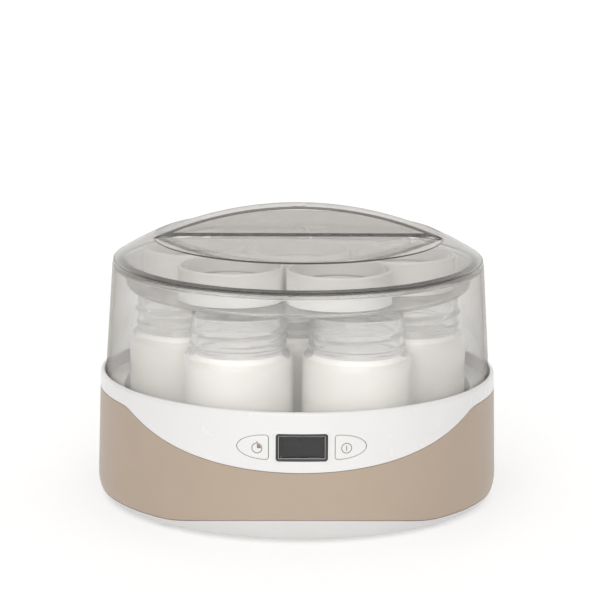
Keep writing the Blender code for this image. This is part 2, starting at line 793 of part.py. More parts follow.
def main():
    clear_scene()
    finishes = {
        "white": finish("housing_white", (0.90, 0.90, 0.91), 0.28),
        "taupe": finish("trim_taupe", (0.48, 0.39, 0.31), 0.30),
        "clear": finish("clear_plastic", (0.93, 0.93, 0.95), 0.05, alpha=0.3),
        "glass": finish("jar_glass", (0.94, 0.96, 0.95), 0.03, alpha=0.35),
        "cream": finish("yogurt_cream", (0.91, 0.89, 0.84), 0.5),
        "cap": finish("cap_white", (0.93, 0.93, 0.93), 0.35),
        "rubber": finish("foot_rubber", (0.55, 0.55, 0.56), 0.8),
        "aluminium": finish("plate_aluminium", (0.76, 0.76, 0.77), 0.35, 1.0),
        "steel": finish("steel", (0.62, 0.62, 0.63), 0.3, 1.0),
        "board": finish("circuit_board", (0.05, 0.25, 0.12), 0.5),
        "lcd": finish("lcd_dark", (0.05, 0.055, 0.06), 0.2),
        "frame": finish("display_grey", (0.22, 0.22, 0.23), 0.3),
        "dark": finish("component_black", (0.03, 0.03, 0.03), 0.5),
    }
    white, clear, steel = finishes["white"], finishes["clear"], finishes["steel"]

    base = group("base_frame")
    pieces = [
        base_housing(white),
        trim_band(finishes["taupe"]),
        bottom_cover(white),
        heating_plate(finishes["aluminium"]),
        heating_element(steel),
        *plate_sensors(steel, white),
        *display_parts(finishes),
        tact_switch("timer_switch", -1, finishes["dark"]),
        tact_switch("power_switch", 1, finishes["dark"]),
        *boards(finishes),
        cord_inlet(finishes["rubber"]),
    ]
    for index, place in enumerate(round_places(4, FOOT_PLACE_RADIUS, math.radians(45)), 1):
        pieces.append(foot(f"foot_{index}", place, finishes["rubber"]))
    for index, place in enumerate(round_places(4, BOSS_PLACE_RADIUS, math.radians(45)), 1):
        pieces.append(bottom_screw(f"bottom_screw_{index}", place, steel))
    jar_places = [(0.0, 0.0), *round_places(6, JAR_PITCH, JAR_START)]
    for index, place in enumerate(jar_places, 1):
        pieces.append(jar(f"jar_{index}", place, finishes["glass"]))
        pieces.append(yogurt(f"yogurt_{index}", place, finishes["cream"]))
    for piece in pieces:
        attach(piece, base)

    for name, side in (("timer_button", -1), ("power_button", 1)):
        guide = group(f"{name}_guide", (side * SWITCH_X, -outer_radius(PANEL_Z), PANEL_Z))
        attach(guide, base)
        attach(button(name, side, white), guide)

    cover = group("cover_frame", (0, 0, SKIRT_FOOT_Z))
    attach(cover, base)
    attach(clear_cover(clear), cover)
    cap_places = [(0.0, 0.0), *round_places(6, CAP_PITCH, CAP_START)]
    for index, place in enumerate(cap_places, 1):
        attach(cap(f"cap_{index}", place, finishes["cap"]), cover)
        attach(date_ring(f"date_ring_{index}", place, finishes["cap"]), cover)

    lid_frame = group("lid_frame", (0, 0, LID_Z))
    attach(lid_frame, cover)
    attach(lid(clear), lid_frame)


main()
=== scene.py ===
"""Looks for the yogurt maker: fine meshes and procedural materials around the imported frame.

Lengths are in millimetres, as in the part's design, and become metres when a vertex is made.
"""

import math

import bmesh
import bpy
from mathutils import Matrix, Vector


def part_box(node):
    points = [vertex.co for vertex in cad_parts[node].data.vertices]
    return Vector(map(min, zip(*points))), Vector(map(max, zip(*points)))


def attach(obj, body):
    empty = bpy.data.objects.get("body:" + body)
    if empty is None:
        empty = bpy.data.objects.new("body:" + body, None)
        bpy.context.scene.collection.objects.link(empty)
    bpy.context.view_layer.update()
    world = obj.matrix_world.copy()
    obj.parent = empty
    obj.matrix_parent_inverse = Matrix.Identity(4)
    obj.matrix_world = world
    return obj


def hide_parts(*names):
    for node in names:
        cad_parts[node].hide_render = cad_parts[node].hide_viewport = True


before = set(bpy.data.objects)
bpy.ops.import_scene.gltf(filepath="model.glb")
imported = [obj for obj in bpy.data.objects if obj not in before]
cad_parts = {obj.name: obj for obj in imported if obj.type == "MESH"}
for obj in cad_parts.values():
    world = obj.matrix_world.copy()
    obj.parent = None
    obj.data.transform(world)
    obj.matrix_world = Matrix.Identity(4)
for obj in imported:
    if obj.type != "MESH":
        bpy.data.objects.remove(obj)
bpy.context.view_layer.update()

MM = 0.001
TURN = 2 * math.pi

# How finely round pieces are turned.
BODY_SEGMENTS = 240
LID_SEGMENTS = 160
SMALL_SEGMENTS = 96
DETAIL_SEGMENTS = 40
ARC_STEP = math.radians(15)
SHARP_ANGLE = math.radians(38)
JARS = range(1, 8)


# ---------------------------------------------------------------- measures from the frame

def low_mm(node):
    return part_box(node)[0] / MM


def high_mm(node):
    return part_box(node)[1] / MM


def centre_mm(node):
    return (low_mm(node) + high_mm(node)) / 2


FLOOR_Z = low_mm("bottom_cover").z
WALL_RADIUS = high_mm("trim_band").x
RIM_Z = high_mm("base_housing").z
SIDE_TOP_Z = high_mm("trim_band").z
BAND_FOOT_Z = low_mm("trim_band").z
PLATE_LOW_Z = low_mm("heating_plate").z
PLATE_TOP_Z = high_mm("heating_plate").z
PLATE_RADIUS = high_mm("heating_plate").x
SKIRT_RADIUS = high_mm("clear_cover").x
SKIRT_FOOT_Z = low_mm("clear_cover").z
TRAY_TOP_Z = high_mm("clear_cover").z
LID_Z = low_mm("lid").z
LID_RADIUS = high_mm("lid").x
LID_TOP_Z = high_mm("lid").z
CAP_FOOT_Z = low_mm("cap_1").z
CAP_HEIGHT = high_mm("cap_1").z - CAP_FOOT_Z
CAP_RADIUS = high_mm("cap_1").x
JAR_FOOT_Z = low_mm("jar_1").z
JAR_HEIGHT = high_mm("jar_1").z - JAR_FOOT_Z
JAR_RADIUS = high_mm("jar_1").x
YOGURT_TOP_Z = high_mm("yogurt_1").z - JAR_FOOT_Z
PANEL_Z = centre_mm("lcd_module").z
GAP = 0.3


# ---------------------------------------------------------------- outlines

def filleted(corners, closed=True):
    """Rounds a polyline. A corner is (x, z, radius); radius 0 keeps it sharp."""
    points = []
    last = len(corners) - 1
    for index, (x, z, radius) in enumerate(corners):
        here = Vector((x, z))
        if not radius or (not closed and index in (0, last)):
            points.append(tuple(here))
            continue
        to_last = (Vector(corners[index - 1][:2]) - here).normalized()
        to_next = (Vector(corners[(index + 1) % len(corners)][:2]) - here).normalized()
        half = to_last.angle(to_next) / 2
        centre = here + (to_last + to_next).normalized() * radius / math.sin(half)
        start = here + to_last * radius / math.tan(half) - centre
        stop = here + to_next * radius / math.tan(half) - centre
        sweep = start.angle_signed(stop)
        steps = max(2, math.ceil(abs(sweep) / ARC_STEP))
        first = math.atan2(start.y, start.x)
        for step in range(steps + 1):
            turn = first - sweep * step / steps
            points.append((centre.x + radius * math.cos(turn), centre.y + radius * math.sin(turn)))
    return points


def soft_min(a, b, softness):
    """The lesser of two values, with the kink between them rounded."""
    return (a + b - math.sqrt((a - b) ** 2 + softness ** 2)) / 2


def smooth_step(share):
    share = min(1.0, max(0.0, share))
    return share * share * (3 - 2 * share)


def rounded_rectangle(width, height, radius, grow=0.0):
    """A rounded rectangle about the panel's centre, as (x, z) points."""
    corner_steps = 8
    width, height, radius = width + 2 * grow, height + 2 * grow, max(0.2, radius + grow)
    points = []
    for quarter, (side_x, side_z) in enumerate(((1, 1), (-1, 1), (-1, -1), (1, -1))):
        for step in range(corner_steps + 1):
            turn = math.radians(90) * (quarter + step / corner_steps)
            x = side_x * (width / 2 - radius) + radius * math.cos(turn)
            z = side_z * (height / 2 - radius) + radius * math.sin(turn)
            points.append((x, PANEL_Z + z))
    return points


# ---------------------------------------------------------------- mesh making

def finish_mesh(name, shape, material, weighted=False):
    """Turns a bmesh into a named object, with its faces pointing out and its round faces smooth."""
    bmesh.ops.recalc_face_normals(shape, faces=shape.faces)
    mesh = bpy.data.meshes.new(name)
    shape.to_mesh(mesh)
    shape.free()
    return mesh_object(name, mesh, material, weighted)


def mesh_object(name, mesh, material, weighted=False):
    mesh.materials.clear()
    mesh.materials.append(material)
    mesh.shade_smooth()
    mesh.set_sharp_from_angle(angle=SHARP_ANGLE)
    piece = bpy.data.objects.new(name, mesh)
    bpy.context.scene.collection.objects.link(piece)
    if weighted:
        even = piece.modifiers.new("even_normals", "WEIGHTED_NORMAL")
        even.keep_sharp = True
    return piece


def on_circle(radius, angle, height):
    """A point on a circle about Z; angle 0 is the front, and it grows towards +X."""
    return Vector((radius * math.sin(angle), -radius * math.cos(angle), height))


def swept(name, section, segments, material, weighted=True):
    """A closed section carried round Z. It may change with the angle, and radius 0 is a pole."""
    shape = bmesh.new()
    poles = {}
    columns = []
    for step in range(segments):
        angle = TURN * step / segments
        column = []
        for index, (radius, height) in enumerate(section(angle)):
            if radius > 1e-6:
                column.append(shape.verts.new(on_circle(radius, angle, height) * MM))
                continue
            if index not in poles:
                poles[index] = shape.verts.new((0, 0, height * MM))
            column.append(poles[index])
        columns.append(column)
    for step in range(segments):
        here, there = columns[step], columns[(step + 1) % segments]
        for index in range(len(here)):
            after = (index + 1) % len(here)
            corners = dict.fromkeys([here[index], there[index], there[after], here[after]])
            if len(corners) > 2:
                shape.faces.new(list(corners))
    return finish_mesh(name, shape, material, weighted)


def turned(name, corners, segments, material, closed=True, weighted=True):
    """A plain turned solid from a filleted half section."""
    profile = filleted(corners, closed)
    return swept(name, lambda angle: profile, segments, material, weighted)


def copies(first, prefix, places):
    """The first piece and its copies, each a named object on one shared mesh, at places in mm."""
    made = []
    for index, place in enumerate(places, 1):
        piece = first if index == 1 else first.copy()
        if index > 1:
            bpy.context.scene.collection.objects.link(piece)
        piece.name = f"{prefix}_{index}"
        piece.location = Vector(place) * MM
        made.append(piece)
    return made


def block_mesh(shape, low, high):
    """Adds a box between two corners in mm to a bmesh."""
    low, high = Vector(low) * MM, Vector(high) * MM
    made = bmesh.ops.create_cube(shape, size=1.0)["verts"]
    bmesh.ops.scale(shape, vec=high - low, verts=made)
    bmesh.ops.translate(shape, vec=(low + high) / 2, verts=made)
    return made


def wall_point(x, z, proud):
    """A point on the front wall at x and z, standing proud of it in mm."""
    radius = wall_radius(z) + proud
    return Vector((x, -math.sqrt(radius * radius - x * x), z)) * MM


def wall_loop(shape, outline, proud):
    return [shape.verts.new(wall_point(x, z, proud)) for x, z in outline]


def bridge(shape, first, second):
    """Joins two loops of the same length with quads."""
    for index in range(len(first)):
        after = (index + 1) % len(first)
        shape.faces.new([first[index], first[after], second[after], second[index]])


def scaled(outline, centre, share):
    cx, cz = centre
    return [(cx + (x - cx) * share, cz + (z - cz) * share) for x, z in outline]


def wall_key(name, outline, borders, centre, material):
    """A key that follows the wall's curve. borders are (grow, proud) rings from its back to its face."""
    shape = bmesh.new()
    loops = [wall_loop(shape, outline(grow), proud) for grow, proud in borders]
    shape.faces.new(loops[0])
    for first, second in zip(loops, loops[1:]):
        bridge(shape, first, second)
    grow, proud = borders[-1]
    rings = 6
    inner = loops[-1]
    for ring in range(1, rings):
        loop = wall_loop(shape, scaled(outline(grow), centre, 1 - ring / rings), proud)
        bridge(shape, inner, loop)
        inner = loop
    middle = shape.verts.new(wall_point(*centre, proud))
    for index in range(len(inner)):
        shape.faces.new([inner[index], inner[(index + 1) % len(inner)], middle])
    return finish_mesh(name, shape, material, weighted=True)


def wall_ring(name, outline, rings, material):
    """A closed frame on the wall: (grow, proud) rings that go round its section."""
    shape = bmesh.new()
    loops = [wall_loop(shape, outline(grow), proud) for grow, proud in rings]
    for first, second in zip(loops, loops[1:] + loops[:1]):
        bridge(shape, first, second)
    return finish_mesh(name, shape, material, weighted=True)


def evaluated(piece, material):
    """Applies a piece's modifiers and gives a clean object in its place."""
    name = piece.name
    graph = bpy.context.evaluated_depsgraph_get()
    mesh = bpy.data.meshes.new_from_object(piece.evaluated_get(graph))
    bpy.data.objects.remove(piece)
    mesh.name = name
    return mesh_object(name, mesh, material, weighted=True)


def combine(piece, other, operation):
    step = piece.modifiers.new(operation.lower(), "BOOLEAN")
    step.operation = operation
    step.object = other
    return piece


def soften(piece, width, angle, segments=3):
    """Rounds the edges that are sharper than an angle."""
    step = piece.modifiers.new("soft_edges", "BEVEL")
    step.width = width * MM
    step.segments = segments
    step.limit_method = "ANGLE"
    step.angle_limit = angle
    return piece


def shade_faces(piece, finish, chosen):
    """Gives a second material to the faces whose centre, in mm, is chosen."""
    piece.data.materials.append(materials[finish])
    for face in piece.data.polygons:
        if chosen(face.center / MM):
            face.material_index = 1


def show_as(piece, body, slot, *nodes):
    """Rides a piece on a body, in place of CAD nodes. slot, the record's finish, is not used."""
    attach(piece, body)
    if nodes:
        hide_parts(*nodes)
    return piece


# ---------------------------------------------------------------- materials

def new_material(name):
    made = bpy.data.materials.new(name)
    made.use_nodes = True
    tree = made.node_tree
    return made, tree, tree.nodes["Principled BSDF"]


def add(tree, kind, **settings):
    node = tree.nodes.new(kind)
    for key, value in settings.items():
        setattr(node, key, value)
    return node


def noise(tree, scale, detail=3.0, stretch=(1, 1, 1)):
    """Noise in the object's own coordinates. scale is features to a metre."""
    place = add(tree, "ShaderNodeTexCoord")
    spread = add(tree, "ShaderNodeMapping")
    spread.inputs["Scale"].default_value = stretch
    made = add(tree, "ShaderNodeTexNoise")
    made.inputs["Scale"].default_value = scale
    made.inputs["Detail"].default_value = detail
    tree.links.new(place.outputs["Object"], spread.inputs["Vector"])
    tree.links.new(spread.outputs["Vector"], made.inputs["Vector"])
    return made.outputs["Fac"]


def between(tree, share, low, high):
    """Maps a 0 to 1 share onto a range of numbers."""
    made = add(tree, "ShaderNodeMapRange")
    made.inputs["To Min"].default_value = low
    made.inputs["To Max"].default_value = high
    tree.links.new(share, made.inputs["Value"])
    return made.outputs["Result"]


# A Mix node's colour sockets come after those for numbers and vectors.
MIX_FIRST, MIX_SECOND, MIX_COLOUR = 6, 7, 2


def mixed(tree, share, first, second):
    """Mixes two colours by a share."""
    made = add(tree, "ShaderNodeMix", data_type="RGBA")
    made.inputs[MIX_FIRST].default_value = (*first, 1)
    made.inputs[MIX_SECOND].default_value = (*second, 1)
    tree.links.new(share, made.inputs["Factor"])
    return made.outputs[MIX_COLOUR]


def bumped(tree, shader, height, strength, depth):
    made = add(tree, "ShaderNodeBump")
    made.inputs["Strength"].default_value = strength
    made.inputs["Distance"].default_value = depth * MM
    tree.links.new(height, made.inputs["Height"])
    tree.links.new(made.outputs["Normal"], shader.inputs["Normal"])


def moulded(name, colour, roughness, grain=0.12, coat=0.0, metallic=0.0, tone=0.025, glow=0.0, shine=0.5):
    """Moulded plastic: faint clouding, uneven gloss and the fine orange peel of a moulded face."""
    made, tree, shader = new_material(name)
    darker = tuple(c * (1 - tone) for c in colour)
    lighter = tuple(min(1.0, c * (1 + tone)) for c in colour)
    clouds = noise(tree, 45, 4)
    tree.links.new(mixed(tree, clouds, darker, lighter), shader.inputs["Base Color"])
    uneven = between(tree, noise(tree, 160, 5), roughness * 0.85, roughness * 1.15)
    tree.links.new(uneven, shader.inputs["Roughness"])
    bumped(tree, shader, noise(tree, 900, 2), grain, 0.02)
    shader.inputs["Metallic"].default_value = metallic
    shader.inputs["Specular IOR Level"].default_value = shine
    shader.inputs["Coat Weight"].default_value = coat
    shader.inputs["Coat Roughness"].default_value = 0.06
    shader.inputs["Subsurface Weight"].default_value = glow
    shader.inputs["Subsurface Radius"].default_value = (0.004, 0.004, 0.004)
    return made


# What one clear face passes, the tint that depth adds, and the painted shade of a face seen edge on, which
# stands in for the dark surroundings it would reflect.
CLEAR_FACE = (0.99, 0.989, 0.987, 1)
CLEAR_DEPTH = (0.50, 0.465, 0.42, 1)
CLEAR_EDGE_PAINTED_SHADE = Vector((1.0, 0.985, 0.965))


def clear(name, density, rim, sharpness, ior, waviness, haze):
    """Clear plastic or glass: the longer the way through it, the more light it takes.

    rim is painted shade: how much light one face still passes where it is seen edge on, in place of the
    dark surroundings it would reflect there, and sharpness is how close to edge on that begins. The faces
    have faint flow waves and a slight haze, and lamp light isn't bent by them.
    """
    made, tree, shader = new_material(name)
    shader.inputs["Base Color"].default_value = CLEAR_FACE
    shader.inputs["Transmission Weight"].default_value = 1.0 - haze
    shader.inputs["IOR"].default_value = ior
    tree.links.new(between(tree, noise(tree, 120, 3), 0.0, 0.03), shader.inputs["Roughness"])
    bumped(tree, shader, noise(tree, 35, 1), waviness, 0.3)
    depth = add(tree, "ShaderNodeVolumeAbsorption")
    depth.inputs["Color"].default_value = CLEAR_DEPTH
    depth.inputs["Density"].default_value = density
    tree.links.new(depth.outputs[0], tree.nodes["Material Output"].inputs["Volume"])
    # Painted shade: faces seen edge on turn to a darkened see-through closure instead of glass.
    slant = add(tree, "ShaderNodeLayerWeight")
    slant.inputs["Blend"].default_value = 0.5
    painted_edge_mask = add(tree, "ShaderNodeMath", operation="POWER")
    painted_edge_mask.inputs[1].default_value = sharpness
    tree.links.new(slant.outputs["Facing"], painted_edge_mask.inputs[0])
    painted_dark_edge = add(tree, "ShaderNodeBsdfTransparent")
    painted_dark_edge.inputs["Color"].default_value = (*(CLEAR_EDGE_PAINTED_SHADE * rim), 1)
    seen = add(tree, "ShaderNodeMixShader")
    tree.links.new(painted_edge_mask.outputs[0], seen.inputs[0])
    tree.links.new(shader.outputs[0], seen.inputs[1])
    tree.links.new(painted_dark_edge.outputs[0], seen.inputs[2])
    through = add(tree, "ShaderNodeBsdfTransparent")
    through.inputs["Color"].default_value = CLEAR_FACE
    ray = add(tree, "ShaderNodeLightPath")
    mix = add(tree, "ShaderNodeMixShader")
    tree.links.new(ray.outputs["Is Shadow Ray"], mix.inputs[0])
    tree.links.new(seen.outputs[0], mix.inputs[1])
    tree.links.new(through.outputs[0], mix.inputs[2])
    tree.links.new(mix.outputs[0], tree.nodes["Material Output"].inputs["Surface"])
    return made


def yogurt_material():
    """Set yogurt: soft, a little translucent, with a slightly uneven wet face."""
    made, tree, shader = new_material("set_yogurt")
    cloud = mixed(tree, noise(tree, 90, 5), (0.955, 0.925, 0.87), (0.98, 0.96, 0.92))
    tree.links.new(cloud, shader.inputs["Base Color"])
    tree.links.new(between(tree, noise(tree, 240, 4), 0.32, 0.5), shader.inputs["Roughness"])
    shader.inputs["Subsurface Weight"].default_value = 0.2
    shader.inputs["Subsurface Radius"].default_value = (0.006, 0.005, 0.004)
    bumped(tree, shader, noise(tree, 400, 4), 0.2, 0.15)
    return made


def spun_metal(name, colour, roughness):
    """Spun metal: fine rings about Z, with uneven gloss."""
    made, tree, shader = new_material(name)
    place = add(tree, "ShaderNodeTexCoord")
    rings = add(tree, "ShaderNodeTexWave", wave_type="RINGS", rings_direction="Z")
    rings.inputs["Scale"].default_value = 260
    rings.inputs["Distortion"].default_value = 1.5
    rings.inputs["Detail"].default_value = 3
    tree.links.new(place.outputs["Object"], rings.inputs["Vector"])
    darker = tuple(c * 0.86 for c in colour)
    tree.links.new(mixed(tree, rings.outputs["Fac"], darker, colour), shader.inputs["Base Color"])
    uneven = between(tree, rings.outputs["Fac"], roughness * 0.8, roughness * 1.2)
    tree.links.new(uneven, shader.inputs["Roughness"])
    shader.inputs["Metallic"].default_value = 1.0
    bumped(tree, shader, rings.outputs["Fac"], 0.15, 0.02)
    return made


def rolled_metal(name, colour, roughness):
    """Drawn or stamped metal with lengthwise scratches."""
    made, tree, shader = new_material(name)
    scratches = noise(tree, 500, 4, (1, 1, 12))
    darker = tuple(c * 0.8 for c in colour)
    tree.links.new(mixed(tree, scratches, darker, colour), shader.inputs["Base Color"])
    uneven = between(tree, scratches, roughness * 0.7, roughness * 1.3)
    tree.links.new(uneven, shader.inputs["Roughness"])
    shader.inputs["Metallic"].default_value = 1.0
    bumped(tree, shader, scratches, 0.1, 0.02)
    return made


def board_material():
    """A printed board: green mask over lighter tracks."""
    made, tree, shader = new_material("printed_board")
    place = add(tree, "ShaderNodeTexCoord")
    tracks = add(tree, "ShaderNodeTexBrick")
    tracks.inputs["Scale"].default_value = 180
    tracks.inputs["Color1"].default_value = (0.02, 0.16, 0.07, 1)
    tracks.inputs["Color2"].default_value = (0.02, 0.20, 0.09, 1)
    tracks.inputs["Mortar"].default_value = (0.10, 0.34, 0.14, 1)
    tree.links.new(place.outputs["Object"], tracks.inputs["Vector"])
    tree.links.new(tracks.outputs["Color"], shader.inputs["Base Color"])
    tree.links.new(between(tree, noise(tree, 300, 3), 0.35, 0.5), shader.inputs["Roughness"])
    bumped(tree, shader, tracks.outputs["Fac"], 0.3, 0.05)
    return made


def lcd_material():
    """A blank liquid-crystal cell: near black, with a faint clouding and a glossy face."""
    made, tree, shader = new_material("blank_cell")
    cloud = mixed(tree, noise(tree, 60, 4), (0.014, 0.015, 0.016), (0.019, 0.020, 0.022))
    tree.links.new(cloud, shader.inputs["Base Color"])
    tree.links.new(between(tree, noise(tree, 300, 3), 0.25, 0.36), shader.inputs["Roughness"])
    shader.inputs["Specular IOR Level"].default_value = 0.25
    return made


materials = {
    "white": moulded("gloss_white", (0.745, 0.738, 0.73), 0.26, coat=0.2, glow=0.05),
    "taupe": moulded("trim_taupe", (0.43, 0.345, 0.272), 0.36, tone=0.03, shine=0.2),
    # The pan material is the housing's white darkened: painted shade for the pan, which curves under.
    "pan": moulded("pan_white_painted_shade", (0.62, 0.61, 0.60), 0.3, coat=0.1, glow=0.05),
    "cap": moulded("cap_white", (0.94, 0.938, 0.935), 0.36, glow=0.05),
    # The ring material is the caps' white darkened: painted shade for the funnel rings.
    "ring": moulded("ring_white_painted_shade", (0.78, 0.775, 0.775), 0.3, glow=0.05),
    # The groove material is painted shade: a grey for the floor of each cap's groove, where shadow falls.
    "groove": moulded("groove_painted_shade", (0.42, 0.415, 0.41), 0.5),
    # For the clear pieces, rim and sharpness set the painted shade on faces seen edge on.
    "clear": clear("clear_plastic", 25, 0.80, 2.0, 1.46, 0.06, 0.03),
    "thick": clear("clear_ring", 45, 0.35, 7.0, 1.46, 0.04, 0.0),
    "lid": clear("lid_plastic", 165, 0.28, 24.0, 1.46, 0.05, 0.02),
    "glass": clear("jar_glass", 5, 0.80, 30.0, 1.45, 0.12, 0.2),
    "window": clear("display_pane", 100, 0.90, 2.0, 1.3, 0.02, 0.0),
    "yogurt": yogurt_material(),
    "plate": spun_metal("spun_aluminium", (0.60, 0.59, 0.58), 0.4),
    "steel": rolled_metal("drawn_steel", (0.55, 0.55, 0.57), 0.3),
    "bezel": moulded("bezel_grey", (0.035, 0.035, 0.037), 0.3, coat=0.15, tone=0.05),
    "chrome": moulded("window_trim", (0.55, 0.55, 0.56), 0.16, metallic=1.0, tone=0.05),
    "cell": lcd_material(),
    "rubber": moulded("soft_rubber", (0.42, 0.42, 0.43), 0.75, grain=0.6, tone=0.06),
    "black": moulded("component_black", (0.03, 0.03, 0.032), 0.45, grain=0.4, tone=0.1),
    "board": board_material(),
    "ink": moulded("sign_ink", (0.24, 0.19, 0.15), 0.5, tone=0.05),
}


# ---------------------------------------------------------------- base

ROUND_TOP_Z = 15.0
ROUND_DEPTH = 6.0
RIM_RADIUS = WALL_RADIUS - 1.6
GROOVE_RADIUS = SKIRT_RADIUS + 0.35
GROOVE_Z = SKIRT_FOOT_Z - GAP
WELL_RADIUS = PLATE_RADIUS + 0.5
WELL_WALL = 2.2
INNER_WALL_OUT = WALL_RADIUS - 2.9
INNER_WALL_IN = INNER_WALL_OUT - 2.2
BAND_INSIDE = INNER_WALL_OUT + GAP
SPLIT_Z = 20.0
SEAM = 0.22
SEAM_EDGE = 0.35
HOUSING_INLET_RADIUS = 5.2
BAND_INLET_RADIUS = 7.0

SMILE_LOW_Z = 43.6
SMILE_SLOPE = 0.32
SMILE_CURVE = 0.0022
SMILE_SOFTNESS = 2.4
CHIN_HIGH_Z = 15.1
CHIN_SLOPE = 0.296
CHIN_SOFTNESS = 1.2


def wall_radius(height):
    """The base's outer face: a slight taper upwards, and rounded under towards the floor."""
    if height >= ROUND_TOP_Z:
        share = (height - ROUND_TOP_Z) / (RIM_Z - ROUND_TOP_Z)
        return WALL_RADIUS + share * (RIM_RADIUS - WALL_RADIUS)
    drop = min(1.0, (ROUND_TOP_Z - height) / (ROUND_TOP_Z - FLOOR_Z))
    return WALL_RADIUS - ROUND_DEPTH * (1 - math.sqrt(1 - drop * drop))


def set_back(angle):
    """How far a point of the wall stands behind the foremost one."""
    return WALL_RADIUS * (1 - math.cos(angle))


def band_top(angle):
    back = set_back(angle)
    smile = SMILE_LOW_Z + SMILE_SLOPE * back + SMILE_CURVE * back * back
    return soft_min(SIDE_TOP_Z + 0.1, smile, SMILE_SOFTNESS)


def band_bottom(angle):
    chin = CHIN_HIGH_Z - CHIN_SLOPE * set_back(angle)
    return -soft_min(-BAND_FOOT_Z, -chin, CHIN_SOFTNESS)


def spread(low, high, step):
    """Evenly spaced heights from low to high, about step apart."""
    count = max(1, round((high - low) / step))
    return [low + (high - low) * index / count for index in range(count + 1)]


def housing_section(angle):
    """The white housing. Its skin has many rows, so that holes cut in it shade cleanly."""
    foot = band_top(angle) + SEAM
    rim_start = RIM_Z - 3.2
    skin = [(wall_radius(foot) - SEAM_EDGE, foot)]
    rows = 8
    for row in range(rows + 1):
        height = foot + SEAM_EDGE + (rim_start - foot - SEAM_EDGE) * row / rows
        skin.append((wall_radius(height), height))
    rim = filleted([
        (wall_radius(rim_start), rim_start, 0),
        (RIM_RADIUS, RIM_Z, 1.9),
        (GROOVE_RADIUS, RIM_Z, 0.5),
        (GROOVE_RADIUS, GROOVE_Z, 0.4),
        (GROOVE_RADIUS - 3.5, GROOVE_Z, 0.6),
        (WELL_RADIUS + 1.2, GROOVE_Z - 1.0, 1.6),
        (WELL_RADIUS, PLATE_LOW_Z - GAP, 0),
        (WELL_RADIUS - 7.2, PLATE_LOW_Z - GAP, 0),
        (WELL_RADIUS - 7.2, PLATE_LOW_Z - 2.5, 0),
        (WELL_RADIUS + WELL_WALL, PLATE_LOW_Z - 2.5, 0),
        (WELL_RADIUS + WELL_WALL, GROOVE_Z - 3.4, 0),
        (INNER_WALL_IN, GROOVE_Z - 3.0, 0),
        (INNER_WALL_IN, SPLIT_Z, 0),
        (INNER_WALL_OUT, SPLIT_Z, 0),
        (INNER_WALL_OUT, foot, 0),
    ])
    return skin + rim[1:]


def hole_tool(outline, grow, near=10.0, far=14.0):
    """A prism through the front wall, to cut an opening."""
    shape = bmesh.new()
    front = [shape.verts.new(Vector((x, -WALL_RADIUS - near, z)) * MM) for x, z in outline(grow)]
    back = [shape.verts.new(Vector((x, -WALL_RADIUS + far, z)) * MM) for x, z in outline(grow)]
    shape.faces.new(front)
    shape.faces.new(back)
    bridge(shape, front, back)
    return finish_mesh("hole_tool", shape, materials["white"])


def inlet_tool(radius):
    """A cylinder through the rear wall at the cord inlet."""
    inlet = centre_mm("cord_inlet")
    corners = [(0, -12, 0), (radius, -12, 0), (radius, 12, 0), (0, 12, 0)]
    tool = turned("inlet_tool", corners, DETAIL_SEGMENTS, materials["white"], closed=False, weighted=False)
    tool.location = Vector((0, INNER_WALL_OUT, inlet.z)) * MM
    tool.rotation_euler.x = math.radians(90)
    return tool


DISPLAY_SIZE = high_mm("display_frame") - low_mm("display_frame")
DISPLAY_CORNER = 1.8


def display_outline(grow):
    return rounded_rectangle(DISPLAY_SIZE.x + 2 * GAP, DISPLAY_SIZE.z + 2 * GAP, DISPLAY_CORNER, grow)


BUTTON_FLAT = low_mm("power_button").x
BUTTON_LENGTH = high_mm("power_button").x - BUTTON_FLAT
BUTTON_CORNER = 1.6
BUTTON_HALF = (high_mm("power_button").z - low_mm("power_button").z) / 2


def half_oval(side):
    """Outline maker for a button: flat towards the display, a half ellipse away from it."""
    def outline(grow):
        arc_steps, corner_steps = 40, 6
        corner = max(0.3, BUTTON_CORNER + grow)
        middle = BUTTON_FLAT - grow + corner
        reach, half = BUTTON_LENGTH + 2 * grow - corner, BUTTON_HALF + grow
        points = []
        for step in range(arc_steps + 1):
            turn = math.radians(180) * step / arc_steps - math.radians(90)
            points.append((middle + reach * math.cos(turn), half * math.sin(turn)))
        for quarter, lift, first in ((1, half - corner, 1), (2, corner - half, 0)):
            for step in range(first, first + corner_steps):
                turn = math.radians(90) * (quarter + step / corner_steps)
                points.append((middle + corner * math.cos(turn), lift + corner * math.sin(turn)))
        return [(side * x, PANEL_Z + z) for x, z in points]
    return outline


def base_housing():
    piece = swept("housing_shell", housing_section, BODY_SEGMENTS, materials["white"], weighted=False)
    tools = [hole_tool(display_outline, 0.0), hole_tool(half_oval(-1), GAP), hole_tool(half_oval(1), GAP)]
    tools.append(inlet_tool(HOUSING_INLET_RADIUS))
    for tool in tools:
        combine(piece, tool, "DIFFERENCE")
    piece = evaluated(piece, materials["white"])
    for tool in tools:
        bpy.data.objects.remove(tool)
    return show_as(piece, "base", "housing_white", "base_housing")


def trim_band():
    """The taupe band, a curved sheet with eased edges."""
    shares = (0.0, 0.02, 0.05, 0.09, 0.14, 0.2, 0.27, 0.36, 0.48, 0.6, 0.7, 0.8, 0.9, 1.0)

    def section(angle):
        foot, top = band_bottom(angle), band_top(angle)
        low, high = foot + SEAM_EDGE, top - SEAM_EDGE
        heights = [low + (high - low) * share for share in shares]
        return [
            (wall_radius(foot) - SEAM_EDGE, foot),
            *[(wall_radius(z), z) for z in heights],
            (wall_radius(top) - SEAM_EDGE, top),
            (BAND_INSIDE, top),
            (BAND_INSIDE, foot),
        ]

    piece = swept("taupe_band", section, BODY_SEGMENTS, materials["taupe"], weighted=False)
    tool = inlet_tool(BAND_INLET_RADIUS)
    combine(piece, tool, "DIFFERENCE")
    piece = evaluated(piece, materials["taupe"])
    bpy.data.objects.remove(tool)
    return show_as(piece, "base", "trim_taupe", "trim_band")


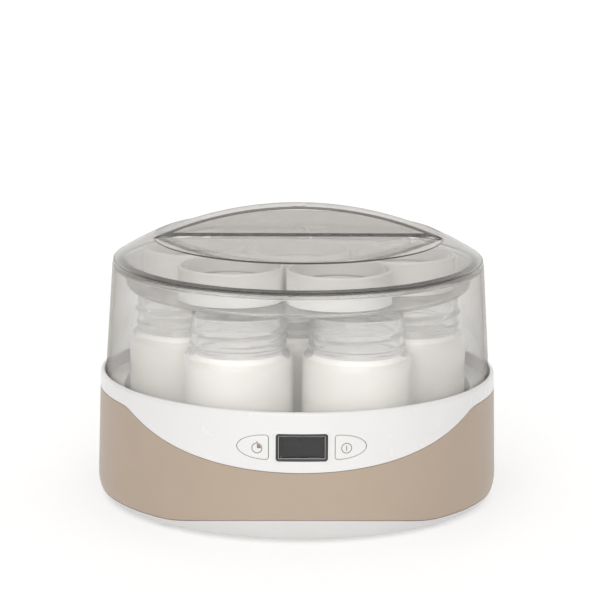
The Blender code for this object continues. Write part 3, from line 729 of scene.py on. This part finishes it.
def bottom_cover():
    """The white pan below, whose front edge rises as a chin."""
    inside = FLOOR_Z + 2.2

    def section(angle):
        lip = band_bottom(angle) - SEAM
        shares = (0.0, 0.01, 0.04, 0.09, 0.16, 0.26, 0.38, 0.52, 0.68, 0.84, 0.97)
        heights = [FLOOR_Z + share * (lip - FLOOR_Z) for share in shares]
        return [
            (0, FLOOR_Z),
            *[(wall_radius(z), z) for z in heights],
            (wall_radius(lip) - SEAM_EDGE, lip),
            (INNER_WALL_OUT, lip),
            (INNER_WALL_OUT, SPLIT_Z - GAP),
            (INNER_WALL_IN, SPLIT_Z - GAP),
            (INNER_WALL_IN, inside + 2.0),
            (INNER_WALL_IN - 2.0, inside),
            (0, inside),
        ]

    # Painted shade: the pan takes a darker copy of the housing's white.
    piece = swept("bottom_pan", section, BODY_SEGMENTS, materials["pan"])
    return show_as(piece, "base", "housing_white", "bottom_cover")


def feet_and_screws():
    foot_corners = [
        (0, 0, 0),
        (8.0, 0, 0.8),
        (9.0, 0.9, 0.4),
        (8.4, FLOOR_Z - GAP, 0.2),
        (3.0, FLOOR_Z - GAP, 0),
        (3.0, FLOOR_Z + 2.6, 0.4),
        (2.2, 8.5, 0.6),
        (0, 8.5, 0),
    ]
    places = [(*centre_mm(f"foot_{n}").xy, 0) for n in range(1, 5)]
    first = turned("rubber_foot_1", foot_corners, DETAIL_SEGMENTS, materials["rubber"], closed=False)
    for index, piece in enumerate(copies(first, "rubber_foot", places), 1):
        show_as(piece, "base", "foot_rubber", f"foot_{index}")
    for index in range(1, 5):
        dress(f"bottom_screw_{index}", "steel")


def dress(node, finish):
    """Gives a carried-over CAD node its material."""
    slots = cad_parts[node].data.materials
    slots.clear()
    slots.append(materials[finish])


def inside_pieces():
    """The nodes whose CAD shape is right already."""
    finishes = {
        "steel": ("heating_element", "thermal_fuse"),
        "white": ("temperature_sensor", "lcd_holder"),
        "cell": ("lcd_module",),
        "window": ("display_window",),
        "black": ("timer_switch", "power_switch", "transformer", "capacitor"),
        "board": ("control_board", "supply_board"),
    }
    for finish, nodes in finishes.items():
        for node in nodes:
            dress(node, finish)


def heating_plate():
    corners = [
        (0, PLATE_LOW_Z, 0),
        (PLATE_RADIUS, PLATE_LOW_Z, 0.3),
        (PLATE_RADIUS, PLATE_TOP_Z, 0.7),
        (0, PLATE_TOP_Z, 0),
    ]
    piece = turned("warming_plate", corners, BODY_SEGMENTS, materials["plate"], closed=False)
    return show_as(piece, "base", "plate_aluminium", "heating_plate")


def cord_inlet():
    """The rubber bushing in the rear wall."""
    inlet = centre_mm("cord_inlet")
    front = high_mm("cord_inlet").y
    back = low_mm("cord_inlet").y
    flange, neck, bore = 6.6, 4.7, 3.4
    corners = [
        (bore, back, 0.3),
        (6.4, back, 0.4),
        (6.4, back + 1.9, 0.2),
        (neck, back + 1.9, 0),
        (neck, front - 1.6, 0),
        (flange, front - 1.6, 0.2),
        (flange, front, 0.7),
        (bore, front, 0.5),
    ]
    piece = turned("inlet_bushing", corners, DETAIL_SEGMENTS, materials["rubber"])
    piece.data.transform(turn_to_rear(inlet.z))
    return show_as(piece, "base", "foot_rubber", "cord_inlet")


def turn_to_rear(height):
    """Lays a shape turned about Z along +Y, at a height in mm."""
    return Matrix.Translation((0, 0, height * MM)) @ Matrix.Rotation(math.radians(-90), 4, "X")


# ---------------------------------------------------------------- controls

def display():
    """The bezel: a glossy frame with a sloping inner edge, and a soft white surround on the wall."""
    rings = [(-GAP, -3.4), (-GAP, 0.05), (-GAP - 0.25, 0.2), (-1.0, 0.2), (-1.38, 0.0), (-1.38, -3.4)]
    piece = wall_ring("display_bezel", display_outline, rings, materials["bezel"])
    show_as(piece, "base", "display_grey", "display_frame")
    rings = [(-1.42, -1.6), (-1.42, -0.15), (-1.62, 0.02), (-1.86, -0.2), (-1.98, -0.9), (-1.98, -1.6)]
    trim = wall_ring("window_trim", display_outline, rings, materials["chrome"])
    show_as(trim, "base", "steel")
    rings = [(0.06, -0.4), (0.06, 0.25), (0.3, 0.42), (0.7, 0.42), (1.2, 0.22), (1.7, 0.0), (1.7, -0.4)]
    surround = wall_ring("display_surround", display_outline, rings, materials["white"])
    show_as(surround, "base", "housing_white")


def key(node, side):
    """A half-oval button with rounded edges."""
    borders = [(0, -2.4), (0, -0.05), (-0.12, 0.22), (-0.4, 0.4), (-0.9, 0.46)]
    centre = (side * SIGN_PLACE[0], PANEL_Z)
    piece = wall_key(f"{node}_cap", half_oval(side), borders, centre, materials["white"])
    return show_as(piece, node, "housing_white", node)


SIGN_PROUD = 0.46
SIGN_THICK = 0.05
SIGN_RADIUS = 3.2
SIGN_LINE = 0.5
SIGN_PLACE = (BUTTON_FLAT + 6.7, PANEL_Z - 0.6)
CLOCK_GAP = 0.25
CLOCK_KNOB = (1.1, 0.5)
POWER_BAR_HEIGHT = 3.0


def sign_ring(shape, centre, outer, inner):
    """Adds a flat printed ring on the wall to a bmesh."""
    steps = 48
    loops = []
    for radius, proud in ((inner, 0.0), (outer, 0.0), (outer, SIGN_THICK), (inner, SIGN_THICK)):
        turns = [TURN * step / steps for step in range(steps)]
        points = [(centre[0] + radius * math.cos(t), centre[1] + radius * math.sin(t)) for t in turns]
        loops.append(wall_loop(shape, points, SIGN_PROUD + proud))
    for first, second in zip(loops, loops[1:] + loops[:1]):
        bridge(shape, first, second)


def sign_patch(shape, outline):
    """Adds a flat printed patch on the wall to a bmesh."""
    back = wall_loop(shape, outline, SIGN_PROUD)
    face = wall_loop(shape, outline, SIGN_PROUD + SIGN_THICK)
    shape.faces.new(back)
    shape.faces.new(face)
    bridge(shape, back, face)


def box_outline(centre, width, height):
    cx, cz = centre
    return [(cx + sx * width / 2, cz + sz * height / 2) for sx, sz in ((-1, -1), (1, -1), (1, 1), (-1, 1))]


def signs():
    """The generic signs: a clock with a filled quarter, and a ring with a bar."""
    centre = (-SIGN_PLACE[0], SIGN_PLACE[1])
    shape = bmesh.new()
    sign_ring(shape, centre, SIGN_RADIUS, SIGN_RADIUS - SIGN_LINE)
    quarter = [centre]
    steps = 8
    reach = SIGN_RADIUS - SIGN_LINE - CLOCK_GAP
    for step in range(steps + 1):
        turn = math.radians(90) * step / steps
        quarter.append((centre[0] + reach * math.cos(turn), centre[1] + reach * math.sin(turn)))
    sign_patch(shape, quarter)
    sign_patch(shape, box_outline((centre[0], centre[1] + SIGN_RADIUS + 0.55), *CLOCK_KNOB))
    show_as(finish_mesh("timer_sign", shape, materials["ink"]), "timer_button", "trim_taupe")
    centre = SIGN_PLACE
    shape = bmesh.new()
    sign_ring(shape, centre, SIGN_RADIUS, SIGN_RADIUS - SIGN_LINE)
    sign_patch(shape, box_outline(centre, SIGN_LINE, POWER_BAR_HEIGHT))
    show_as(finish_mesh("power_sign", shape, materials["ink"]), "power_button", "trim_taupe")


# ---------------------------------------------------------------- jars and caps

THREAD_TURNS = 1.6
THREAD_LEAD = 6.0
THREAD_FOOT = 64.2
THREAD_PROUD = 1.75
THREAD_WIDTH = 1.15
NECK_RADIUS = 28.4
JAR_TWIST = math.radians(47)


def thread(height, angle):
    """How far the screw thread stands out of the neck at a height and an angle."""
    proud = 0.0
    for lap in range(3):
        turns = angle / TURN + lap
        if turns > THREAD_TURNS:
            continue
        ends = smooth_step(turns / 0.12) * smooth_step((THREAD_TURNS - turns) / 0.12)
        away = (height - THREAD_FOOT - THREAD_LEAD * turns) / THREAD_WIDTH
        proud = max(proud, THREAD_PROUD * ends * math.exp(-away * away))
    return proud


def jar_section(angle):
    """A jar: rounded foot, straight body, soft shoulder, bead, threaded neck and rolled mouth."""
    outside = filleted([
        (0, 0.9, 0),
        (26.0, 0.0, 1.5),
        (31.6, 0.0, 2.4),
        (JAR_RADIUS, 3.4, 3.0),
        (JAR_RADIUS, 50.6, 5.0),
        (31.9, 56.2, 3.0),
        (28.6, 57.6, 1.2),
        (NECK_RADIUS - 0.2, 60.4, 0.5),
        (29.4, 61.2, 0.5),
        (29.4, 62.2, 0.5),
        (NECK_RADIUS, 63.0, 0.3),
    ], closed=False)
    neck = [(NECK_RADIUS + thread(z, angle), z) for z in spread(63.4, JAR_HEIGHT - 1.6, 0.6)]
    inside = filleted([
        (NECK_RADIUS, JAR_HEIGHT - 1.5, 0),
        (NECK_RADIUS, JAR_HEIGHT, 1.05),
        (26.2, JAR_HEIGHT, 1.05),
        (26.0, 59.0, 3.0),
        (29.0, 54.5, 3.0),
        (30.9, 49.6, 4.0),
        (30.9, 5.0, 4.5),
        (0, 4.2, 0),
    ], closed=False)
    return outside + neck + inside[1:]


def jars():
    first = swept("glass_jar_1", jar_section, SMALL_SEGMENTS, materials["glass"], weighted=False)
    places = [(*centre_mm(f"jar_{n}").xy, JAR_FOOT_Z) for n in JARS]
    for index, piece in enumerate(copies(first, "glass_jar", places), 1):
        piece.rotation_euler.z = JAR_TWIST * index
        show_as(piece, "base", "jar_glass", f"jar_{index}")


def yogurts():
    """Set yogurt that wets the glass, with a low rim where it meets the wall."""
    corners = [
        (0, 4.0, 0),
        (30.98, 4.85, 4.4),
        (30.98, 49.6, 4.0),
        (29.05, 54.3, 2.6),
        (28.2, YOGURT_TOP_Z + 0.6, 0.3),
        (26.2, YOGURT_TOP_Z - 0.2, 1.0),
        (0, YOGURT_TOP_Z, 0),
    ]
    fill = materials["yogurt"]
    first = turned("yogurt_fill_1", corners, SMALL_SEGMENTS, fill, closed=False, weighted=False)
    places = [(*centre_mm(f"yogurt_{n}").xy, JAR_FOOT_Z) for n in JARS]
    for index, piece in enumerate(copies(first, "yogurt_fill", places), 1):
        show_as(piece, "base", "yogurt_cream", f"yogurt_{index}")


CAP_WELL_Z = 9.6
GROOVE_IN = 15.0
GROOVE_OUT = 22.5


# The faces that get the painted shade: the floor of the groove round each cap's disc.
def in_cap_groove(centre):
    return centre.z < CAP_WELL_Z - 1.0 and GROOVE_IN < centre.xy.length < GROOVE_OUT


def caps():
    """The screw caps: a raised disc in the middle, with a grooved ring round it."""
    corners = [
        (CAP_RADIUS - 0.3, 0, 0.3),
        (CAP_RADIUS, CAP_HEIGHT, 1.5),
        (30.2, CAP_HEIGHT, 0.5),
        (29.6, CAP_HEIGHT - 2.2, 0.5),
        (23.0, CAP_WELL_Z + 0.6, 0.5),
        (21.6, CAP_WELL_Z - 2.6, 0.6),
        (16.2, CAP_WELL_Z - 2.6, 0.6),
        (15.5, CAP_WELL_Z + 2.5, 0.6),
        (0, CAP_WELL_Z + 2.8, 0),
        (0, CAP_WELL_Z + 1.3, 0),
        (14.1, CAP_WELL_Z + 1.1, 0.6),
        (14.8, CAP_WELL_Z - 4.0, 0.6),
        (22.9, CAP_WELL_Z - 4.0, 0.6),
        (30.7, CAP_HEIGHT - 3.2, 0.6),
        (30.7, 0, 0.3),
    ]
    first = turned("jar_cap_1", corners, SMALL_SEGMENTS, materials["cap"])
    # Painted shade: the groove's floor is made grey, standing in for the shadow deep in it.
    shade_faces(first, "groove", in_cap_groove)
    places = [(*centre_mm(f"cap_{n}").xy, CAP_FOOT_Z) for n in JARS]
    for index, piece in enumerate(copies(first, "jar_cap", places), 1):
        show_as(piece, "cover", "cap_white", f"cap_{index}")


TAB_LOW = (-1.3, -26.9, 15.4)
TAB_HIGH = (1.3, -23.6, 17.2)


def date_rings():
    """The funnel-shaped ring in each cap, with a tab."""
    foot, top = CAP_WELL_Z + 1.6, CAP_HEIGHT - 0.9
    corners = [
        (28.7, top - 1.0, 0.2),
        (28.7, top, 0.6),
        (27.2, top, 0.7),
        (21.7, foot + 0.9, 0.4),
        (21.7, foot, 0.2),
        (22.9, foot, 0),
    ]
    # The funnel rings take a darker white, painted shade for the inside of the cap.
    first = turned("date_funnel_1", corners, SMALL_SEGMENTS, materials["ring"], weighted=False)
    shape = bmesh.new()
    block_mesh(shape, TAB_LOW, TAB_HIGH)
    tab = finish_mesh("tab", shape, materials["ring"])
    soften(tab, 0.5, math.radians(40))
    combine(first, tab, "UNION")
    first = evaluated(first, materials["ring"])
    bpy.data.objects.remove(tab)
    places = [(*centre_mm(f"cap_{n}").xy, CAP_FOOT_Z) for n in JARS]
    for index, piece in enumerate(copies(first, "date_funnel", places), 1):
        show_as(piece, f"date_ring_{index}", "cap_white", f"date_ring_{index}")


# ---------------------------------------------------------------- clear cover and lid

def clear_cover():
    """The cover: one clear moulding, from the skirt over the ledge and the raised ring to the tray."""
    ledge = LID_Z - GAP
    tray = CAP_FOOT_Z - GAP
    ledge_radius = LID_RADIUS + 0.6
    corners = [
        (SKIRT_RADIUS, SKIRT_FOOT_Z, 0.3),
        (ledge_radius, ledge, 1.6),
        (111.3, ledge, 0.5),
        (110.7, TRAY_TOP_Z, 0.7),
        (108.0, TRAY_TOP_Z, 0.7),
        (105.8, tray, 2.4),
        (0, tray, 0),
        (0, tray - 1.8, 0),
        (107.0, tray - 1.8, 4.2),
        (109.3, ledge - 2.0, 1.2),
        (114.0, ledge - 2.0, 1.0),
        (SKIRT_RADIUS - 2.0, SKIRT_FOOT_Z, 0.3),
    ]
    piece = turned("cover_shell", corners, BODY_SEGMENTS, materials["clear"])
    # The ring and tray above the ledge take clear_ring, with darker painted shade on faces seen edge on.
    shade_faces(piece, "thick", lambda centre: centre.z > ledge)
    return show_as(piece, "cover", "clear_plastic", "clear_cover")


LID_WALL = 2.0
LID_LIP = 1.7
LID_EDGE_ANGLE = math.radians(14)
PLATEAU_HEIGHT = 15.2
RIDGE_HALF_TOP = 8.0
RIDGE_HALF_FOOT = 9.2


def dome(name, inset, foot):
    """A shallow dome about the lid's sphere. inset makes it smaller by a wall's thickness."""
    rise = LID_TOP_Z - LID_Z - LID_LIP
    ball = (LID_RADIUS ** 2 + rise ** 2) / (2 * rise)
    centre_z = LID_TOP_Z - ball
    ball -= inset
    edge = LID_RADIUS - inset
    rows = 26
    profile = [(0, foot), (edge, foot)]
    for row in range(rows + 1):
        at = edge * math.cos(math.radians(90) * row / rows)
        profile.append((at, centre_z + math.sqrt(ball * ball - at * at)))
    profile[-1] = (0, profile[-1][1])
    return swept(name, lambda angle: profile, LID_SEGMENTS, materials["lid"], weighted=False)


def recess_tool(side, inset):
    """A wedge that cuts one finger recess."""
    floor = LID_Z + PLATEAU_HEIGHT - inset
    reach, top = 130.0, LID_TOP_Z + 20
    lean = (RIDGE_HALF_FOOT - RIDGE_HALF_TOP) / (LID_TOP_Z - floor)
    foot_y, top_y = RIDGE_HALF_FOOT - inset, RIDGE_HALF_FOOT - inset - lean * (top - floor)
    corners = [(foot_y, floor), (reach, floor), (reach, top), (top_y, top)]
    shape = bmesh.new()
    ends = []
    for x in (-reach, reach):
        ends.append([shape.verts.new(Vector((x, side * y, z)) * MM) for y, z in corners])
    shape.faces.new(ends[0])
    shape.faces.new(ends[1])
    bridge(shape, *ends)
    return finish_mesh("recess_tool", shape, materials["lid"])


def lid_body(name, inset, foot, edge):
    """The dome with its two finger recesses and rounded edges."""
    piece = dome(name, inset, foot)
    tools = [recess_tool(side, inset) for side in (-1, 1)]
    for tool in tools:
        combine(piece, tool, "DIFFERENCE")
    soften(piece, edge, LID_EDGE_ANGLE)
    piece = evaluated(piece, materials["lid"])
    piece.modifiers.clear()
    for tool in tools:
        bpy.data.objects.remove(tool)
    return piece


def lid():
    outside = lid_body("lid_shell", 0.0, LID_Z, 1.5)
    hollow = lid_body("lid_hollow", LID_WALL, LID_Z - 3.0, 0.5)
    combine(outside, hollow, "DIFFERENCE")
    piece = evaluated(outside, materials["lid"])
    bpy.data.objects.remove(hollow)
    return show_as(piece, "lid", "clear_plastic", "lid")


# ---------------------------------------------------------------- stage

FLOOR_REACH_M = 30.0
FLOOR_GLOW = 0.40


def floor():
    """A plain pale floor, far wider than any view. It glows a little, like a sweep lit from behind."""
    shape = bmesh.new()
    bmesh.ops.create_grid(shape, x_segments=1, y_segments=1, size=FLOOR_REACH_M)
    made, tree, shader = new_material("pale_floor")
    patches = mixed(tree, noise(tree, 3, 3), (0.64, 0.64, 0.64), (0.66, 0.66, 0.66))
    tree.links.new(patches, shader.inputs["Base Color"])
    shader.inputs["Roughness"].default_value = 0.6
    shader.inputs["Specular IOR Level"].default_value = 0.1
    shader.inputs["Emission Color"].default_value = (1, 1, 1, 1)
    shader.inputs["Emission Strength"].default_value = FLOOR_GLOW
    piece = finish_mesh("pale_floor", shape, made)


def sun(name, towards, soft_angle, strength):
    """A soft lamp at no distance, so that the floor is as bright far away as near by."""
    data = bpy.data.lights.new(name, "SUN")
    data.angle = soft_angle
    data.energy = strength
    made = bpy.data.objects.new(name, data)
    made.rotation_euler = (-Vector(towards)).to_track_quat("-Z", "Y").to_euler()
    bpy.context.scene.collection.objects.link(made)


SKY_BRIGHT = (0.90, 0.895, 0.885)
SKY_DARK = (0.02, 0.02, 0.02)
# Where the dark flags begin and are full, and where they end upwards, as shares of a unit direction.
FLAG_FROM = 0.72
FLAG_TO = 0.90
FLAG_TOP = 0.55
FLAG_FADE = 0.2


def sky():
    """A white studio, with dark flags at left and right that give clear edges their grey lines."""
    world = bpy.data.worlds.new("studio")
    world.use_nodes = True
    tree = world.node_tree
    place = add(tree, "ShaderNodeTexCoord")
    apart = add(tree, "ShaderNodeSeparateXYZ")
    tree.links.new(place.outputs["Generated"], apart.inputs["Vector"])
    sideways = add(tree, "ShaderNodeMath", operation="ABSOLUTE")
    tree.links.new(apart.outputs["X"], sideways.inputs[0])
    beside = add(tree, "ShaderNodeMapRange", interpolation_type="SMOOTHSTEP")
    beside.inputs["From Min"].default_value = FLAG_FROM
    beside.inputs["From Max"].default_value = FLAG_TO
    tree.links.new(sideways.outputs[0], beside.inputs["Value"])
    below = add(tree, "ShaderNodeMapRange", interpolation_type="SMOOTHSTEP")
    below.inputs["From Min"].default_value = FLAG_TOP
    below.inputs["From Max"].default_value = FLAG_TOP - FLAG_FADE
    tree.links.new(apart.outputs["Z"], below.inputs["Value"])
    flag = add(tree, "ShaderNodeMath", operation="MULTIPLY")
    tree.links.new(beside.outputs["Result"], flag.inputs[0])
    tree.links.new(below.outputs["Result"], flag.inputs[1])
    blend = mixed(tree, flag.outputs[0], SKY_BRIGHT, SKY_DARK)
    ground = tree.nodes["Background"]
    tree.links.new(blend, ground.inputs["Color"])
    ground.inputs["Strength"].default_value = 1.0
    bpy.context.scene.world = world


def light():
    """A soft key from the front over the even light of the studio."""
    sun("key", (-0.12, -0.9, 0.45), math.radians(55), 1.0)


def deep_glass():
    """Enough bounces for a ray to cross the cover and three jars, wall by wall."""
    cycles = bpy.context.scene.cycles
    cycles.max_bounces = 40
    cycles.transmission_bounces = 40
    cycles.transparent_max_bounces = 40
    cycles.glossy_bounces = 8
    cycles.diffuse_bounces = 6


def camera():
    """The view from in front and far away, a little above the lid."""
    distance, height = 1.7872, 0.4894
    turn, tilt, roll = math.radians(-1.4), math.radians(11.593), math.radians(0.436)
    data = bpy.data.cameras.new("view")
    data.lens, data.sensor_width = 174.7, 36.0
    data.shift_x = 0.0035
    made = bpy.data.objects.new("view", data)
    made.location = (distance * math.sin(turn), -distance * math.cos(turn), height)
    made.rotation_mode = "XYZ"
    made.rotation_euler = (math.radians(90) - tilt, 0, turn)
    bpy.context.scene.collection.objects.link(made)
    bpy.context.view_layer.update()
    made.rotation_euler.rotate_axis("Z", roll)
    bpy.context.scene.camera = made


camera()
base_housing()
trim_band()
bottom_cover()
feet_and_screws()
inside_pieces()
heating_plate()
cord_inlet()
display()
key("timer_button", -1)
key("power_button", 1)
signs()
jars()
yogurts()
caps()
date_rings()
clear_cover()
lid()
floor()
sky()
light()
deep_glass()
bpy.context.scene.view_settings.view_transform = "Standard"
